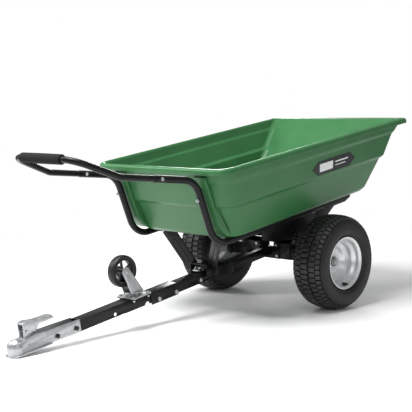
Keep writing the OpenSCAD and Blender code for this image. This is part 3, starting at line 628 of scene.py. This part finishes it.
# ---------------------------------------------------------------- label
LABEL_AT = np.array((341.4, 58, 411.0))
LABEL_TILT = math.atan2(14, 89)
FILM_T, PRINT_T = 0.8, 0.2


def label():
    """A blank film with pointed ends, with a white field and two bars, on the tub's right wall."""
    out = np.array((math.cos(LABEL_TILT), 0, -math.sin(LABEL_TILT)))
    up = np.array((math.sin(LABEL_TILT), 0, math.cos(LABEL_TILT)))

    def plate(name, outline, low, thick, material):
        verts = [LABEL_AT + out * d + up * b + np.array((0, a, 0))
                 for d in (low, low + thick) for a, b in outline]
        n = len(outline)
        faces = [tuple(reversed(range(n))), tuple(range(n, 2 * n))]
        faces += [(k, (k + 1) % n, n + (k + 1) % n, n + k) for k in range(n)]
        return make(name, verts, faces, material, "tub", 30)

    film = [(-147, 0), (-108, -30), (108, -30), (147, 0), (108, 30), (-108, 30)]
    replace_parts(plate("label_film", film, 0, FILM_T, LABEL), "tub_label")
    field = [(-98, -17), (-8, -17), (-8, 17), (-98, 17)]
    plate("label_field", field, FILM_T, PRINT_T, LABEL_WHITE)
    for name, low, high, end in (("label_bar_14", 5, 11, 96), ("label_bar_0", -9, -5, 80)):
        plate(name, [(8, low), (end, low), (end, high), (8, high)], FILM_T, PRINT_T, LABEL_WHITE)


label()


# ---------------------------------------------------------------- latch spring and caster tyre
LATCH_Y, LATCH_Z = -464.0, 63.0


def spring():
    """The latch's return spring, one wire coiled round the pin."""
    coil_r, wire_r, turns, half, per_turn = 5.6, 0.8, 7, 8.4, 16
    path = []
    for i in range(turns * per_turn + 1):
        a = math.tau * i / per_turn
        x = -half + 2 * half * i / (turns * per_turn)
        path.append((x, LATCH_Y + coil_r * math.sin(a), LATCH_Z + coil_r * math.cos(a)))
    piece = wire("latch_coil", path, wire_r, ZINC, "chassis", 10)
    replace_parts(piece, "latch_spring")


def caster_tyre():
    """A crowned rubber band with soft shoulders on the spoked core."""
    r_core, r_out, half, round_r = 49.0, 62.5, 17.8, 8
    angles = [math.radians(a) for a in range(-85, 86, 10)]
    crown = [(r_out - round_r + round_r * math.cos(a) ** 0.6, half * math.sin(a)) for a in angles]
    section = [(r_core, 14), (r_core, -14), (r_core + 3, -15.5)] + crown + [(r_core + 3, 15.5)]
    lo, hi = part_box("caster_tyre")
    centre = STANCE.inverted() @ ((lo + hi) / 2) / MM
    piece = lathe("caster_rubber", section, RUBBER, "caster_wheel", tuple(centre), 96, 50)
    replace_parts(piece, "caster_tyre")


STRUT_FOOT, STRUT_TOP = np.array((54, -445, 60.0)), np.array((146, -479.5, 226.0))
STRUT_TURN = math.radians(15)
# The slot along a strut: radius of its ends, place across, the ends' places along, and the lift of the
# ridge's middle line off the strut's middle plane.
SLOT_R, SLOT_ACROSS, SLOT_LOW, SLOT_HIGH, SLOT_LIFT = 12.0, 8.0, 42.0, 128.0, 2.0
RIDGE_R, RIDGE_SIDES = 1.6, 8


def strut_ridges():
    """A long rounded slot pressed into the front face of each flat strut, drawn by its raised edge."""
    run = (STRUT_TOP - STRUT_FOOT) / np.linalg.norm(STRUT_TOP - STRUT_FOOT)
    across = np.cross(run, (-math.sin(STRUT_TURN), -math.cos(STRUT_TURN), 0))
    across /= np.linalg.norm(across)
    front = -np.cross(run, across)
    path = []
    for start, end_at in ((0, SLOT_HIGH), (math.pi, SLOT_LOW)):
        for i in range(25):
            a = start + math.pi * i / 24
            path.append(STRUT_FOOT + run * (end_at + SLOT_R * math.sin(a))
                        + across * (SLOT_ACROSS + SLOT_R * math.cos(a)) + front * SLOT_LIFT)
    for side, word in ((-1, "left"), (1, "right")):
        loop = mirrored(path, side)
        verts, rings = sweep([loop[-1], *loop, loop[0]], RIDGE_R, RIDGE_SIDES)
        faces = rings_to_faces(rings - 2, RIDGE_SIDES, True)
        make(f"strut_ridge_{word}", verts[RIDGE_SIDES:-RIDGE_SIDES], faces, BLACK, "tub", 50)


spring()
caster_tyre()
strut_ridges()


# ---------------------------------------------------------------- stage, light and camera
def plain(name, colour, roughness):
    """A matt surface with a faint cloud in its tone."""
    material, tree, shader, coords = new_material(name)
    tone = ramp(tree, noise(tree, coords, 0.8), [(0.3, colour), (0.7, tuple(c * 0.985 for c in colour))])
    tree.links.new(tone, shader.inputs["Base Color"])
    shader.inputs["Roughness"].default_value = roughness
    shader.inputs["Specular IOR Level"].default_value = 0.1
    return material


FLOOR_HALF = 2.5


def floor():
    """A pale matt square under the cart."""
    corners = [(x * FLOOR_HALF, y * FLOOR_HALF, 0) for x, y in ((-1, -1), (1, -1), (1, 1), (-1, 1))]
    mesh = bpy.data.meshes.new("studio_floor")
    mesh.from_pydata(corners, [], [(0, 1, 2, 3)])
    mesh.materials.append(plain("pale_floor", (0.93, 0.93, 0.93), 0.9))
    ground = bpy.data.objects.new("studio_floor", mesh)
    bpy.context.scene.collection.objects.link(ground)


def area_light(name, at, target, size, watts):
    """A soft box that the camera doesn't see."""
    data = bpy.data.lights.new(name, "AREA")
    data.shape = "RECTANGLE"
    data.size, data.size_y = size
    data.energy = watts
    lamp = bpy.data.objects.new(name, data)
    bpy.context.scene.collection.objects.link(lamp)
    lamp.location = at
    lamp.visible_camera = False
    lamp.rotation_euler = (Vector(target) - Vector(at)).to_track_quat("-Z", "Y").to_euler()


def light():
    """A dim room round soft boxes; seen directly, the room is a plain white backdrop."""
    world = bpy.data.worlds.new("studio")
    bpy.context.scene.world = world
    world.use_nodes = True
    tree = world.node_tree
    room = tree.nodes["Background"]
    room.inputs["Color"].default_value = (1, 1, 1, 1)
    room.inputs["Strength"].default_value = 0.36
    backdrop = tree.nodes.new("ShaderNodeBackground")
    backdrop.inputs["Color"].default_value = (1, 1, 1, 1)
    backdrop.inputs["Strength"].default_value = 1.0
    rays = tree.nodes.new("ShaderNodeLightPath")
    mix = tree.nodes.new("ShaderNodeMixShader")
    tree.links.new(rays.outputs["Is Camera Ray"], mix.inputs[0])
    tree.links.new(room.outputs[0], mix.inputs[1])
    tree.links.new(backdrop.outputs[0], mix.inputs[2])
    tree.links.new(mix.outputs[0], tree.nodes["World Output"].inputs["Surface"])
    middle = (0, 0.2, 0.4)
    area_light("top_softbox", (-0.2, -1.2, 3.2), middle, (1.8, 1.8), 170)
    area_light("front_softbox", (-2.6, -2.2, 2.4), middle, (0.8, 1.5), 60)
    area_light("rear_softbox", (-3.2, 3.6, 2.0), middle, (1.4, 1.6), 80)
    area_light("side_softbox", (3.8, -1.0, 1.9), middle, (1.3, 1.8), 16)
    bpy.context.scene.view_settings.view_transform = "Standard"


CAMERA_AT = Vector((2794.0, -3127.7, 1149.6)) * MM
AZIMUTH, ELEVATION, ROLL = (math.radians(a) for a in (45.5, -12.1, -6.8))
LENS, SENSOR = 84.5, 36.0


def camera():
    """The viewer's place and turn, given in the cart's own frame."""
    ahead = Vector((-math.sin(AZIMUTH) * math.cos(ELEVATION), math.cos(AZIMUTH) * math.cos(ELEVATION),
                    math.sin(ELEVATION)))
    right = Vector((math.cos(AZIMUTH), math.sin(AZIMUTH), 0))
    up = right.cross(ahead)
    turned_right = right * math.cos(ROLL) + up * math.sin(ROLL)
    turned_up = up * math.cos(ROLL) - right * math.sin(ROLL)
    rotation = Matrix((turned_right, turned_up, -ahead)).transposed().to_4x4()
    data = bpy.data.cameras.new("camera")
    data.lens = LENS
    data.sensor_width = SENSOR
    data.clip_end = 50
    cam = bpy.data.objects.new("camera", data)
    bpy.context.scene.collection.objects.link(cam)
    cam.matrix_world = STANCE @ Matrix.Translation(CAMERA_AT) @ rotation
    bpy.context.scene.camera = cam


floor()
light()
camera()
